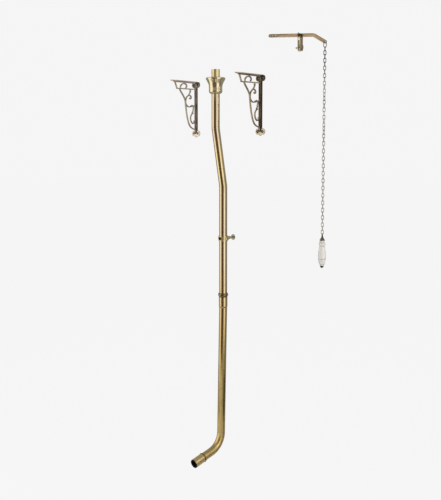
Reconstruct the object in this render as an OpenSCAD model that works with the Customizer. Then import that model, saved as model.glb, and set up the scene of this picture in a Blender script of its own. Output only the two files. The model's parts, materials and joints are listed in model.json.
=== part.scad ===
// Fittings set of a high level flushing cistern: two cast wall brackets, an offset
// flush pipe with its cover cup, clip, slip joint and outlet bend, and the pull
// lever with its saddle, chain and ceramic grip. Millimetres, +Z up, the wall lies
// in the plane Y = wall_y and the room on its -Y side. The origin is the centre of
// the flush pipe's top end.

/* [Flush pipe] */
// Outside diameter of the flush pipe
pipe_d = 32; // [30:1:34]
// Wall thickness of the pipe
pipe_wall = 1.2; // [1:0.1:1.6]
// Height from the pipe's top end down to its first bend
first_drop = 225; // [205:5:245]
// Height between the two offset bends
offset_run = 227; // [200:1:260]
// How far the offset sets the pipe back towards the wall
pipe_offset = 41; // [30:1:45]
// Depth of the slip joint's collar below the pipe's top end
joint_drop = 882; // [860:1:900]
// Lean of the lower pipe towards the room, below the slip joint
pipe_lean = 1.3; // [0.5:0.1:2]
// Depth of the outlet bend's corner below the pipe's top end
corner_drop = 1515; // [1480:1:1540]
// Bend radius of the outlet, at the pipe's centre line
outlet_bend_r = 70; // [60:1:80]
// Fall of the outlet below the horizontal
outlet_fall = 12; // [5:1:20]
// Length of the outlet from the bend's corner to its mouth
outlet_reach = 153; // [148:1:180]

/* [Cover cup] */
// Height of the pipe left bare above the cup's rim
cup_top = 30; // [26:1:35]
// Height of the cup
cup_h = 66; // [62:1:72]
// Radius of the cup's flared rim
cup_rim_r = 38; // [36:1:40]
// Radius of the cup's body
cup_body_r = 26; // [25:1:28]

/* [Wall brackets] */
// Distance of the wall plane behind the pipe's top end
wall_y = 98; // [96:1:100]
// Centre of the left bracket
bracket_left_x = -220; // [-260:1:-200]
// Centre of the right bracket
bracket_right_x = 148; // [120:1:180]
// Depth of the brackets' top face below the pipe's top end
bracket_top = 24.5; // [20:0.5:26]
// Height of a bracket
bracket_h = 231; // [229:1:234]
// Reach of a bracket's arm from the wall
arm_reach = 140; // [137:1:143]
// Distance between the two screw holes of an ear
ear_hole_pitch = 25; // [24:1:27]
// Diameter of the screw holes
ear_hole_d = 5.5; // [4.5:0.5:6]

/* [Pipe clip] */
// Height of the clip's centre below the pipe's top end
clip_drop = 661; // [640:1:700]
// Height of the clip's band
clip_band_h = 22; // [18:1:24]
// Diameter of the wall rose
rose_d = 23; // [22:1:28]

/* [Lever] */
// Place of the lever's pivot along the wall
pivot_x = 417; // [400:1:450]
// Height of the lever's pivot above the pipe's top end
pivot_z = 78; // [70:1:90]
// Slope of the lever at rest, pull end down
lever_tilt = 6.2; // [0:0.1:8]
// Length of the lever's inner arm, from the pivot to its rounded end
inner_arm = 145; // [135:1:150]
// Length from the pivot to the lever's bend
outer_arm = 58; // [54:1:62]
// Downward bend of the lever's pull end
lever_bend = 24; // [20:1:30]
// Length from the bend to the hole that carries the chain
pull_arm = 55; // [50:1:60]
// Height of the lever's flat bar
lever_h = 11.5; // [11:0.5:13]
// Thickness of the lever's flat bar
lever_t = 4.5; // [4:0.5:5]

/* [Saddle] */
// Width of the gap that the saddle clamps over
saddle_gap = 7; // [6.6:0.1:8]
// Width of the saddle's strap
saddle_w = 15; // [14:0.5:16]

/* [Chain and grip] */
// Wire diameter of the chain links
wire_d = 2.4; // [2.2:0.1:2.5]
// Outside width of a chain link
link_w = 9.8; // [9.6:0.1:11]
// Rise from one chain link to the next
link_pitch = 12.4; // [12:0.1:12.6]
// Radius of the ceramic grip at its widest
grip_r = 13.4; // [13:0.1:15]

/* [Hidden] */

$fn = 64;
pipe_r = pipe_d / 2;
bore_r = pipe_r - pipe_wall;
slide_gap = 0.08;               // radial room of a part that slides on the pipe
clearance = 0.05;               // radial room of a pin or screw in its hole

// offset bends
offset_bend_r = 80;
inlet_len = 28;                 // plain end for the cistern's nut, above a seating groove
groove_w = 1.5;
groove_depth = 0.6;
offset_angle = atan(pipe_offset / offset_run);
offset_tangent = offset_bend_r * tan(offset_angle / 2);
offset_slant = norm([pipe_offset, offset_run]) - 2 * offset_tangent;

// slip joint: a rolled collar, a socket below it, and the pipe's end in the socket
socket_len = 54;
socket_r = pipe_r + slide_gap + pipe_wall;
socket_cone = 6;
collar_out = 20.2;              // radius of the rolled collar at its widest
collar_half_h = 6.6;            // half its height, where it meets the socket
collar_r = ((collar_out - socket_r) ^ 2 + collar_half_h ^ 2) / 2 / (collar_out - socket_r);
collar_turn = asin(collar_half_h / collar_r);
collar_mid = joint_drop + collar_half_h + 1;
seal_r = pipe_r + 2.1;
seal_h = 4.6;
insert_end = joint_drop + socket_len - 7;

// the slight bend that starts the lower pipe's lean, below the socket's cone
lean_bend_r = 300;
lean_tangent = lean_bend_r * tan(pipe_lean / 2);
lean_start = 6;                 // plain pipe between the cone and the bend
lean_drop = joint_drop + socket_len + socket_cone + lean_start + lean_tangent;

// outlet
corner_y = pipe_offset - (corner_drop - lean_drop) * tan(pipe_lean);
outlet_angle = 90 - outlet_fall - pipe_lean;
outlet_tangent = outlet_bend_r * tan(outlet_angle / 2);
ferrule_len = 53;
ferrule_r = pipe_r + 1.5;
ferrule_cover = 24;             // how far the ferrule is sleeved over the pipe
ferrule_bead = 2.2;             // height of the bead's middle above the ferrule's back edge
seal_flange = 2.4;

// colours
brass = [0.66, 0.56, 0.36];
cast_brass = [0.45, 0.37, 0.27];
dark_brass = [0.23, 0.18, 0.12];
steel = [0.45, 0.44, 0.42];
black_rubber = [0.03, 0.03, 0.03];
ceramic_white = [0.87, 0.86, 0.83];

// ---------------------------------------------------------------- curves

// Points of a smooth curve through the knots (Catmull-Rom), steps per span.
function curve(knots, steps) = [
    for (i = [0 : len(knots) - 2], s = [0 : steps - 1])
        blend_knots(knots, i, s / steps),
    knots[len(knots) - 1]
];
function blend_knots(k, i, t) =
    let (
        n = len(k) - 1,
        a = k[max(i - 1, 0)],
        b = k[i],
        c = k[i + 1],
        d = k[min(i + 2, n)]
    )
    0.5 * (2 * b + (c - a) * t + (2 * a - 5 * b + 4 * c - d) * t * t
        + (3 * b - a - 3 * c + d) * t * t * t);

// Unit normal, to the left of the curve's run, at point i.
function left_normal(p, i) =
    let (
        n = len(p) - 1,
        v = p[min(i + 1, n)] - p[max(i - 1, 0)]
    )
    [-v[1], v[0]] / norm(v);

// Points of an arc about a centre, from angle a0 to a1.
function arc(c, r, a0, a1, steps) = [
    for (s = [0 : steps])
        let (a = a0 + (a1 - a0) * s / steps)
        c + r * [cos(a), sin(a)]
];

// A bar of changing width along a curve: half widths w0 at its start, w1 at its end.
module stroke(p, w0, w1) {
    n = len(p) - 1;
    left = [for (i = [0 : n]) p[i] + left_normal(p, i) * (w0 + (w1 - w0) * i / n)];
    right = [for (i = [n : -1 : 0]) p[i] - left_normal(p, i) * (w0 + (w1 - w0) * i / n)];
    polygon(concat(left, right));
}

// ---------------------------------------------------------------- pipe runs
// Each run starts at the origin and heads along -Z; its children start at its end.
// A straight run reaches a little way into the bends at its ends, which are a hair
// thicker, as a bent pipe is.

lap = 1;
bend_swell = 0.1;

module straight_run(length, lap_start = lap, lap_end = lap) {
    translate([0, 0, -length - lap_end])
        linear_extrude(length + lap_start + lap_end)
            pipe_section();
    translate([0, 0, -length])
        children();
}

// Bends the run towards +Y.
module bent_run(radius, angle) {
    translate([0, radius, 0]) {
        rotate([0, 90, 0])
            rotate([0, 0, -90])
                rotate_extrude(angle = angle)
                    translate([radius, 0])
                        pipe_section(bend_swell);
        rotate([angle, 0, 0])
            translate([0, -radius, 0])
                children();
    }
}

module pipe_section(swell = 0) {
    difference() {
        circle(r = pipe_r + swell);
        circle(r = bore_r - swell);
    }
}

module half_turn() {
    rotate([0, 0, 180])
        children();
}

// The top length, with a groove below the end that the cistern's outlet nut grips.
module top_length(length) {
    rotate_extrude()
        polygon([
            [bore_r, 0],
            [pipe_r, 0],
            [pipe_r, -inlet_len],
            [pipe_r - groove_depth, -inlet_len],
            [pipe_r - groove_depth, -inlet_len - groove_w],
            [pipe_r, -inlet_len - groove_w],
            [pipe_r, -length - lap],
            [bore_r, -length - lap]
        ]);
    translate([0, 0, -length])
        children();
}

module upper_pipe() {
    last_run = insert_end - first_drop - offset_run - offset_tangent;
    color(brass)
        top_length(first_drop - offset_tangent)
            bent_run(offset_bend_r, offset_angle)
                straight_run(offset_slant)
                    half_turn()
                        bent_run(offset_bend_r, offset_angle)
                            straight_run(last_run, lap_end = 0);
}

// Outline of the lower pipe's straight length: rolled collar with the seal's groove
// inside it, socket, cone, and the pipe below. Heights are below the collar's top edge.
module socket_outline(run) {
    inner = pipe_r + slide_gap;
    mid = joint_drop - collar_mid;
    foot = -socket_len - socket_cone;
    polygon(concat(
        [[inner, 0], [socket_r, 0]],
        arc([collar_out - collar_r, mid], collar_r, collar_turn, -collar_turn, 8),
        [
            [socket_r, -socket_len],
            [pipe_r, foot],
            [pipe_r, foot - run],
            [bore_r, foot - run],
            [bore_r, foot],
            [inner, -socket_len],
            [inner, mid - seal_h / 2 - clearance],
            [seal_r + clearance, mid - seal_h / 2 - clearance],
            [seal_r + clearance, mid + seal_h / 2 + clearance],
            [inner, mid + seal_h / 2 + clearance]
        ]
    ));
}

module joint_seal() {
    color(black_rubber)
        translate([0, pipe_offset, -collar_mid - seal_h / 2])
            rotate_extrude()
                translate([pipe_r + clearance / 2, 0])
                    square([seal_r - pipe_r - clearance / 2, seal_h]);
}

module lower_pipe() {
    run = (corner_drop - lean_drop) / cos(pipe_lean) - lean_tangent - outlet_tangent;
    last_run = outlet_reach - outlet_tangent - ferrule_len + ferrule_cover;
    color(brass)
        translate([0, pipe_offset, -joint_drop]) {
            rotate_extrude()
                socket_outline(lean_start + lap);
            translate([0, 0, -socket_len - socket_cone - lean_start])
                half_turn()
                    bent_run(lean_bend_r, pipe_lean)
                        straight_run(run)
                            bent_run(outlet_bend_r, outlet_angle)
                                straight_run(last_run, lap_end = 0);
        }
}

// Places its children at the outlet's mouth, with +Z pointing out of it.
module at_outlet() {
    translate([0, corner_y, -corner_drop])
        rotate([90 + outlet_fall, 0, 0])
            translate([0, 0, outlet_reach])
                children();
}

module outlet_ferrule() {
    color(brass)
        at_outlet()
            rotate_extrude()
                difference() {
                    union() {
                        polygon([
                            [pipe_r + clearance, ferrule_bead - ferrule_len],
                            [ferrule_r - 0.2, ferrule_bead - ferrule_len],
                            [ferrule_r - 0.2, ferrule_bead + 3 - ferrule_len],
                            [ferrule_r, ferrule_bead + 3 - ferrule_len],
                            [ferrule_r, -seal_flange],
                            [pipe_r + clearance, -seal_flange]
                        ]);
                        translate([ferrule_r - 0.6, ferrule_bead - ferrule_len])
                            circle(r = ferrule_bead - 0.1);
                    }
                    translate([0, -ferrule_len - 3])
                        square([pipe_r + clearance, ferrule_len]);
                }
}

module outlet_seal() {
    sleeve = ferrule_len - ferrule_cover - seal_flange - 1;
    color(black_rubber)
        at_outlet()
            rotate_extrude()
                polygon([
                    [pipe_r - 3.4, -sleeve - seal_flange],
                    [pipe_r, -sleeve - seal_flange],
                    [pipe_r, -seal_flange],
                    [ferrule_r - 0.3, -seal_flange],
                    [ferrule_r - 0.3, -0.6],
                    [ferrule_r - 0.9, 0],
                    [pipe_r - 2.2, 0],
                    [pipe_r - 3.4, -1.6]
                ]);
}

// ---------------------------------------------------------------- cover cup

cup_wall = 1.4;
cup_floor = 3;

// Outer side of the cup, from its rim down to its foot; heights are below the rim.
function cup_side() = concat(
    arc([cup_rim_r - 3.4, -4.6], 3.4, 62, -28, 4),
    curve([
        [cup_rim_r - 1.6, -9.5],
        [cup_body_r + 6.2, -17],
        [cup_body_r + 2, -26],
        [cup_body_r, -38],
        [cup_body_r + 0.3, 16 - cup_h]
    ], 4),
    arc([cup_body_r - 9.2, 13 - cup_h], 9.5, 0, -76, 6)
);

module cover_cup() {
    side = cup_side();
    n = len(side) - 1;
    inside = [for (i = [n - 1 : -1 : 0]) side[i] - left_normal(side, i) * cup_wall];
    floor_z = 2 + cup_floor - cup_h;
    color(brass)
        translate([0, 0, -cup_top])
            rotate_extrude()
                polygon(concat(
                    side,
                    [
                        [pipe_r + slide_gap, floor_z - cup_floor],
                        [pipe_r + slide_gap, floor_z],
                        [cup_body_r - 6, floor_z]
                    ],
                    [for (q = inside) if (q[1] > floor_z + 1) q]
                ));
}

// Rubber ring in the bottom of the cup: it grips the pipe, so the cup stays where it is pushed.
module cup_ring() {
    color(black_rubber)
        translate([0, 0, -cup_top - cup_h + 2 + cup_floor])
            rotate_extrude()
                translate([pipe_r + clearance / 2, 0])
                    square([3, 3.5]);
}

// ---------------------------------------------------------------- cast brackets
// Drawn in a plane: first the distance from the wall, then the height under the top.

web_t = 5;
strap_w = 16;
strap_t = 5;
arm_w = 16;
bar = 2.1;                      // half width of the scrollwork's bars
ear_r = 12;
ear_out = 11;                   // lobes' centres either side of the middle
ear_t = 4.5;
ear_tail = 5.5;                 // radius of the rounded tail under the bottom ear
ear_drop = bracket_h - ear_r - 4;   // depth of the bottom ear's holes under the top
top_ear_drop = 13;

module scrollwork() {
    // front brace, ending in a knob on the lower bar's tip
    stroke(curve([[arm_reach - 20, -4], [arm_reach - 25, -15], [arm_reach - 31, -30]], 5), 2.6, 1.8);
    translate([arm_reach - 32, -32])
        circle(r = 3.2, $fn = 24);
    // lower bar of the top panel
    stroke([[arm_reach - 33, -33], [strap_t - 1, -31]], bar, bar);
    // arch in the top panel
    stroke(curve([[89, -32], [87, -21], [76, -12.5], [64, -11.5], [56, -17],
        [56, -24], [60, -27]], 5), 1.9, 2.6);
    // long brace from the top panel to the foot
    stroke(curve([[94, -32], [88, -43], [75, -59], [64, -77], [61, -97], [58, -119],
        [54, -141], [49, -160], [43, -176], [33, -189], [17, -197], [4, -199.5]], 4), 2.5, 2.2);
    // stem from the lower bar down to the upper scroll, with a bud on it
    stroke(curve([[36, -32], [35, -41], [39, -50], [46, -58], [55, -66]], 4), 1.7, 1.6);
    translate([35.5, -40])
        circle(r = 3.7, $fn = 24);
    // upper scroll: volute, over the top, down along the brace, and back to the strap
    stroke(curve([[39.5, -68], [35.5, -72], [31, -69], [31.5, -62.5], [39, -57], [49, -60.5],
        [57.5, -70], [61, -85], [57, -97], [47, -104.5], [34, -105], [21, -100.5],
        [4, -97]], 4), 2.3, 1.9);
    // leaf on the upper scroll
    stroke([[34, -103.5], [24, -96.5]], 3.2, 0.9);
    // lower scroll with its node and hook
    stroke(curve([[17, -99], [19.5, -116], [23, -130], [31, -141], [34, -153], [30, -166],
        [21.5, -173.5], [13.5, -169], [15, -161.5]], 4), 1.6, 2.3);
    stroke([[18.5, -132.5], [26, -127.5]], 1.5, 1.5);
    // foot web below the brace
    polygon([[strap_t - 1, -194], [12, -196.5], [strap_t - 1, -ear_drop - 4]]);
}

// Two round lobes, side by side on the wall, with a screw hole in each; the bottom
// ear also has a rounded tail.
module ear_plate(drop, tail) {
    translate([0, 0, -drop])
        rotate([90, 0, 0])
            linear_extrude(ear_t)
                difference() {
                    union() {
                        for (side = [-1, 1])
                            translate([side * ear_out, 0])
                                circle(r = ear_r);
                        translate([0, -tail])
                            circle(r = ear_tail);
                    }
                    for (side = [-1, 1])
                        translate([side * ear_hole_pitch / 2, 0])
                            circle(d = ear_hole_d);
                }
}

module bracket() {
    color(cast_brass)
        translate([0, wall_y, -bracket_top]) {
            // scrollwork, turned so that its first coordinate runs out from the wall
            translate([web_t / 2, 0, 0])
                rotate([90, 0, -90])
                    linear_extrude(web_t)
                        scrollwork();
            // strap down the wall
            translate([-strap_w / 2, -strap_t, -ear_drop])
                cube([strap_w, strap_t, ear_drop - 3]);
            // arm: a flat flange that tapers to its tip, on a rib
            translate([0, 0, -4])
                linear_extrude(4)
                    polygon([
                        [-arm_w / 2, 0], [arm_w / 2, 0], [arm_w / 2, 24 - arm_reach],
                        [2.4, -arm_reach], [-2.4, -arm_reach], [-arm_w / 2, 24 - arm_reach]
                    ]);
            translate([web_t / 2, 0, 0])
                rotate([90, 0, -90])
                    linear_extrude(web_t)
                        polygon([[0, -1], [arm_reach - 4, -2], [arm_reach - 20, -8], [0, -8]]);
            ear_plate(top_ear_drop, 0);
            ear_plate(ear_drop, ear_r - 1.5);
        }
}

module bracket_left() {
    translate([bracket_left_x, 0, 0])
        bracket();
}

module bracket_right() {
    translate([bracket_right_x, 0, 0])
        bracket();
}

// ---------------------------------------------------------------- pipe clip

band_t = 2.2;
band_r = pipe_r + 0.1;
lug_out = 27;
lug_t = 2.6;
split = 0.6;                    // half the gap between the two halves
boss_r = 6.5;
boss_end = 36;                  // reach of the rear boss from the pipe's axis
stud_r = 4;
stud_depth = 9;
rose_t = 5;
side_screw_x = 23;
side_screw_r = 2;

module at_clip() {
    translate([0, pipe_offset, -clip_drop])
        children();
}

// One half of the band, on the +Y side, with its two lugs.
module clip_half() {
    difference() {
        union() {
            cylinder(r = band_r + band_t, h = clip_band_h, center = true);
            translate([-lug_out, split, -lug_h / 2])
                cube([2 * lug_out, lug_t, lug_h]);
        }
        cylinder(r = band_r, h = clip_band_h + 2, center = true);
        translate([-50, split - 100, -50])
            cube([100, 100, 100]);
        for (side = [-1, 1])
            translate([side * side_screw_x, 0, 0])
                rotate([-90, 0, 0])
                    cylinder(r = side_screw_r + clearance, h = lug_t + 2);
    }
}
lug_h = 11;

module clip_rear_half() {
    color(brass)
        at_clip()
            difference() {
                union() {
                    clip_half();
                    translate([0, band_r + band_t / 2, 0])
                        rotate([-90, 0, 0])
                            cylinder(r = boss_r, h = boss_end - band_r - band_t / 2);
                }
                translate([0, boss_end - stud_depth, 0])
                    rotate([-90, 0, 0])
                        cylinder(r = stud_r + clearance, h = stud_depth + 1);
            }
}

front_boss_end = 20;
front_screw_r = 4.2;

module clip_front_half() {
    color(brass)
        at_clip()
            half_turn()
                difference() {
                    union() {
                        clip_half();
                        translate([0, band_r + band_t / 2, 0])
                            rotate([-90, 0, 0])
                                cylinder(r = front_screw_r + 2.2, h = front_boss_end - band_r - band_t / 2);
                    }
                    translate([0, band_r - 1, 0])
                        rotate([-90, 0, 0])
                            cylinder(r = front_screw_r + clearance, h = front_boss_end);
                }
}

// Grub screw that pinches the pipe from the front, with a hexagon socket.
module clip_front_screw() {
    screw_end = front_boss_end + 0.6;
    color(dark_brass)
        at_clip()
            half_turn()
                difference() {
                    translate([0, pipe_r + 0.1, 0])
                        rotate([-90, 0, 0])
                            cylinder(r = front_screw_r, h = screw_end - pipe_r - 0.1);
                    translate([0, screw_end - 2.6, 0])
                        rotate([-90, 0, 0])
                            cylinder(r = 2.1, h = 4, $fn = 6);
                }
}

// The two slotted screws that draw the halves together.
module clip_screws() {
    head_y = -split - lug_t;
    color(dark_brass)
        at_clip()
            for (side = [-1, 1])
                translate([side * side_screw_x, head_y, 0])
                    rotate([-90, 0, 0])
                        difference() {
                            union() {
                                cylinder(r = side_screw_r, h = 11);
                                translate([0, 0, -2.2])
                                    cylinder(r = 3.5, h = 2.2);
                            }
                            translate([-5, -0.45, -3])
                                cube([10, 0.9, 1.8]);
                        }
}

module clip_nuts() {
    color(dark_brass)
        at_clip()
            for (side = [-1, 1])
                translate([side * side_screw_x, split + lug_t, 0])
                    rotate([-90, 0, 0])
                        difference() {
                            cylinder(r = 3.8, h = 2.6, $fn = 6);
                            translate([0, 0, -1])
                                cylinder(r = side_screw_r + clearance, h = 5);
                        }
}

module clip_stud() {
    color(brass)
        at_clip()
            translate([0, boss_end - stud_depth + 0.2, 0])
                rotate([-90, 0, 0])
                    cylinder(r = stud_r, h = wall_y - pipe_offset - boss_end + stud_depth - 0.4);
}

module clip_rose() {
    color(cast_brass)
        translate([0, wall_y, -clip_drop])
            rotate([90, 0, 0])
                rotate_extrude()
                    polygon(concat(
                        [[stud_r + clearance, 0], [rose_d / 2, 0]],
                        arc([rose_d / 2 - 1.6, 1.6], 1.6, 0, 90, 4),
                        [[rose_d / 2 - 5, 3.8], [stud_r + 2.2, rose_t], [stud_r + clearance, rose_t]]
                    ));
}

// ---------------------------------------------------------------- lever and saddle

lever_end_r = lever_h / 2;
bend_r = 34;
pivot_r = 3;
pull_hole_r = 3.25;
tongue_t = 2.6;                 // thickness of the lever's flattened inner end
cheek_t = 2.2;
cheek_out = saddle_w / 2;       // outer faces of the fork's cheeks
cheek_in = cheek_out - cheek_t;
side_play = 0.05;               // room beside each washer
bridge_drop = 13;               // bridge's top below the pivot
leg_t = 2.3;
leg_end = 53;                   // legs' lower end below the pivot
clamp_drop = 41;                // clamp screw below the pivot
clamp_r = 2.5;

module at_pivot() {
    translate([pivot_x, 0, pivot_z])
        children();
}

// Centre line of the lever, from its inner end to the hole at its pull end.
function lever_line() =
    let (t = bend_r * tan(lever_bend / 2))
    concat(
        [[-inner_arm + lever_end_r, 0]],
        arc([outer_arm - t, -bend_r], bend_r, 90, 90 - lever_bend, 6),
        [[outer_arm + pull_arm * cos(lever_bend), -pull_arm * sin(lever_bend)]]
    );

// Outline of the bar with round ends.
module lever_outline() {
    p = lever_line();
    n = len(p) - 1;
    left = [for (i = [0 : n]) p[i] + left_normal(p, i) * lever_end_r];
    right = [for (i = [n : -1 : 0]) p[i] - left_normal(p, i) * lever_end_r];
    polygon(concat(
        arc(p[0], lever_end_r, 270, 90, 10),
        left,
        arc(p[n], lever_end_r, 90 - lever_bend, -90 - lever_bend, 10),
        right
    ));
}

// Upright plane drawing turned into a bar of the given thickness about Y = 0.
module upright(thickness) {
    translate([0, thickness / 2, 0])
        rotate([90, 0, 0])
            linear_extrude(thickness)
                children();
}

module lever_arm() {
    tongue_x = 50 - inner_arm;
    color(cast_brass)
        at_pivot()
            rotate([0, lever_tilt, 0])
                difference() {
                    upright(lever_t)
                        difference() {
                            lever_outline();
                            circle(r = pivot_r + clearance);
                            translate(lever_line()[len(lever_line()) - 1])
                                circle(r = pull_hole_r);
                            for (k = [0 : 2])
                                translate([lever_end_r - inner_arm + 1 + k * 12, 0])
                                    circle(r = 2.4);
                        }
                    // the inner end is halved, with a slanting shoulder
                    translate([tongue_x, lever_t / 2 - tongue_t - 10, 0])
                        rotate([0, 35, 0])
                            translate([-150, 0, -60])
                                cube([150, 10, 120]);
                }
}

// Outer leg: straight down, then bowed outwards so that it slips over an edge.
function outer_leg() = [
    [saddle_gap / 2 + leg_t / 2, -bridge_drop],
    [saddle_gap / 2 + leg_t / 2, -30],
    [saddle_gap / 2 + leg_t / 2 + 2.6, -38],
    [saddle_gap / 2 + leg_t / 2 + 2.8, -42],
    [saddle_gap / 2 + leg_t / 2 - 0.8, -leg_end]
];

module lever_saddle() {
    half = saddle_gap / 2 + leg_t;
    color(brass)
        at_pivot()
            difference() {
                union() {
                    upright(saddle_w) {
                        translate([-half, -bridge_drop - 4])
                            square([2 * half, 4]);
                        translate([-half, -leg_end])
                            square([leg_t, leg_end - bridge_drop]);
                        stroke(outer_leg(), leg_t / 2, leg_t / 2);
                    }
                    // fork's two cheeks
                    for (side = [-1, 1])
                        translate([0, side * (cheek_in + cheek_t / 2), 0])
                            upright(cheek_t) {
                                translate([-half, -bridge_drop - 4])
                                    square([2 * half, 14 + 0.5]);
                                translate([0, 0.5])
                                    circle(r = half);
                            }
                    // boss that the clamp screw runs in
                    translate([-half - 2.4, 0, -clamp_drop])
                        rotate([0, 90, 0])
                            cylinder(r = 4.6, h = 2.5);
                }
                rotate([90, 0, 0])
                    cylinder(r = pivot_r + clearance, h = 40, center = true);
                translate([-half - 10, 0, -clamp_drop])
                    rotate([0, 90, 0])
                        cylinder(r = clamp_r + clearance, h = 10 + leg_t + 1);
            }
}

clamp_out = 10;                 // how far the clamp screw stands out of its boss
clamp_tip = 1;                  // how far its tip stands in the gap

module clamp_screw() {
    half = saddle_gap / 2 + leg_t;
    length = clamp_out + 2.4 + leg_t + clamp_tip;
    color(steel)
        at_pivot()
            translate([-half - 2.4 - clamp_out, 0, -clamp_drop])
                rotate([0, 90, 0])
                    difference() {
                        cylinder(r = clamp_r, h = length);
                        translate([-5, -0.5, -1])
                            cube([10, 1, 2.6]);
                    }
}

pin_head_t = 2;
washer_t = 1.2;
spacer_t = cheek_in - lever_t / 2 - 2 * side_play;
split_r = 0.8;
split_y = cheek_out + washer_t + split_r + 0.15;

module pivot_pin() {
    color(dark_brass)
        at_pivot()
            rotate([90, 0, 0])
                difference() {
                    union() {
                        translate([0, 0, -cheek_out])
                            cylinder(r = pivot_r, h = cheek_out + split_y + 3);
                        translate([0, 0, -cheek_out - pin_head_t])
                            cylinder(r = 5, h = pin_head_t);
                    }
                    translate([0, 0, split_y])
                        rotate([90, 0, 0])
                            cylinder(r = split_r + clearance, h = 20, center = true);
                }
}

// A spacer on each side of the lever, and the washer under the split pin.
module pivot_washers() {
    color(dark_brass)
        at_pivot()
            for (place = [
                [-lever_t / 2 - side_play, spacer_t],
                [cheek_in - side_play, spacer_t],
                [-cheek_out, washer_t]
            ])
                translate([0, place[0], 0])
                    rotate([90, 0, 0])
                        difference() {
                            cylinder(r = 5.4, h = place[1]);
                            translate([0, 0, -1])
                                cylinder(r = pivot_r + clearance, h = place[1] + 2);
                        }
}

// Split pin through the pivot pin, its eye up and its legs spread below.
module pivot_split_pin() {
    color(steel)
        at_pivot()
            translate([0, -split_y, 0]) {
                translate([0, 0, -6])
                    cylinder(r = split_r, h = 10.2);
                translate([0, 0, 5.6])
                    rotate([90, 0, 0])
                        rotate_extrude()
                            translate([1.9, 0])
                                circle(r = split_r);
                for (side = [-1, 1])
                    translate([0, 0, -5.6])
                        rotate([0, side * 125, 0])
                            cylinder(r = split_r * 0.8, h = 4.5);
            }
}

// ---------------------------------------------------------------- chain

view_angle = 46;                // turn of the flat links about the chain's line
link_play = 0.1;                // room between one link and the next
lever_wire = 2.6;
lever_link_w = 13.4;
lever_link_l = 20;
twist_first = 10;               // first link of the chain's half twist
twist_links = 17;
pull_x = pivot_x + outer_arm * cos(lever_tilt) + pull_arm * cos(lever_tilt + lever_bend);
pull_z = pivot_z - outer_arm * sin(lever_tilt) - pull_arm * sin(lever_tilt + lever_bend);
link_seat = 0.9;               // the link's top wire curves down this much inside the hole
lever_link_top = pull_z + lever_wire / 2 + link_play + link_seat - pull_hole_r;
lever_link_bottom = lever_link_top - (lever_link_l - lever_wire);
link_line = link_pitch + wire_d + link_play;    // between a link's two end wires
first_top = lever_link_bottom + lever_wire / 2 + wire_d / 2 + link_play;

function link_turn(i) = view_angle + 90 * (i % 2)
    + 180 * min(max((i - twist_first) / twist_links, 0), 1);
function link_top(i) = first_top - link_pitch * (i - 1);

// An oval link in the XZ plane; its top wire's centre is at the origin.
module oval_link(wire, width, line) {
    r = (width - wire) / 2;
    leg = line - 2 * r;
    for (end = [0, 1])
        translate([0, 0, end == 0 ? -r : -r - leg])
            rotate([90, 0, 0])
                rotate([0, 0, end * 180])
                    rotate_extrude(angle = 180)
                        translate([r, 0])
                            circle(d = wire, $fn = 24);
    for (side = [-1, 1])
        translate([side * r, 0, -r - leg])
            cylinder(d = wire, h = leg, $fn = 24);
}

module lever_link() {
    color(steel)
        translate([pull_x, 0, lever_link_top])
            rotate([0, 0, view_angle + 24])
                oval_link(lever_wire, lever_link_w, lever_link_l - lever_wire);
}

module chain_links(first, last) {
    color(steel)
        for (i = [first : last])
            translate([pull_x, 0, link_top(i)])
                rotate([0, 0, link_turn(i)])
                    oval_link(wire_d, link_w, link_line);
}

module chain_1() {
    chain_links(1, 9);
}

module chain_2() {
    chain_links(10, 20);
}

module chain_3() {
    chain_links(21, 29);
}

module chain_4() {
    chain_links(30, 40);
}

module chain_5() {
    chain_links(41, 50);
}

// ---------------------------------------------------------------- pull handle
// Heights below are measured down from the centre of the eye's top wire.

eye_wire = 2.2;
eye_r = 3;
eye_top = link_top(50) - link_line + wire_d / 2 + eye_wire / 2 + link_play;
rod_r = 2.5;
cap_drop = 13;
cap_h = 11;
grip_drop = cap_drop + cap_h;
nut_drop = grip_drop + 85;
nut_h = 9.5;

module at_handle() {
    translate([pull_x, 0, eye_top])
        children();
}

module handle_rod() {
    color(dark_brass)
        at_handle() {
            rotate([0, 0, view_angle + 90])
                translate([0, 0, -eye_r])
                    rotate([90, 0, 0])
                        rotate_extrude()
                            translate([eye_r, 0])
                                circle(d = eye_wire, $fn = 24);
            translate([0, 0, -nut_drop - 5])
                cylinder(r = rod_r, h = nut_drop + 5 - 2 * eye_r + 0.4);
        }
}

module handle_cap() {
    color(cast_brass)
        at_handle()
            rotate_extrude()
                polygon(concat(
                    [[rod_r + clearance, -cap_drop], [4.4, -cap_drop]],
                    curve([[4.8, -cap_drop - 0.6], [5.3, -cap_drop - 3], [7.6, -cap_drop - 6],
                        [8.6, -cap_drop - 8.4]], 3),
                    [[8.6, -grip_drop], [rod_r + clearance, -grip_drop]]
                ));
}

// Profile of the ceramic grip, down from its top face.
function grip_side() = concat(
    [[7.8, 0]],
    curve([[8.7, -1.2], [9.1, -3.5], [8.6, -6.2]], 3),
    curve([[9.4, -7], [11, -10], [11.1, -13], [9.8, -16.6]], 3),
    curve([[9, -18.4], [9.6, -20], [10.7, -27], [grip_r - 0.9, -38], [grip_r, -50],
        [grip_r - 0.2, -60]], 3),
    [[grip_r - 0.9, -62], [grip_r - 0.9, -63]],
    curve([[grip_r - 0.3, -64.6], [grip_r - 1.4, -71], [9.5, -79.5]], 3),
    curve([[7.9, -80.6], [7.7, -83], [7, -85]], 3)
);

module handle_grip() {
    color(ceramic_white)
        at_handle()
            translate([0, 0, -grip_drop])
                rotate_extrude()
                    polygon(concat(
                        [[rod_r + 0.4, 0]],
                        grip_side(),
                        [[rod_r + 0.4, -85]]
                    ));
}

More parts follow.
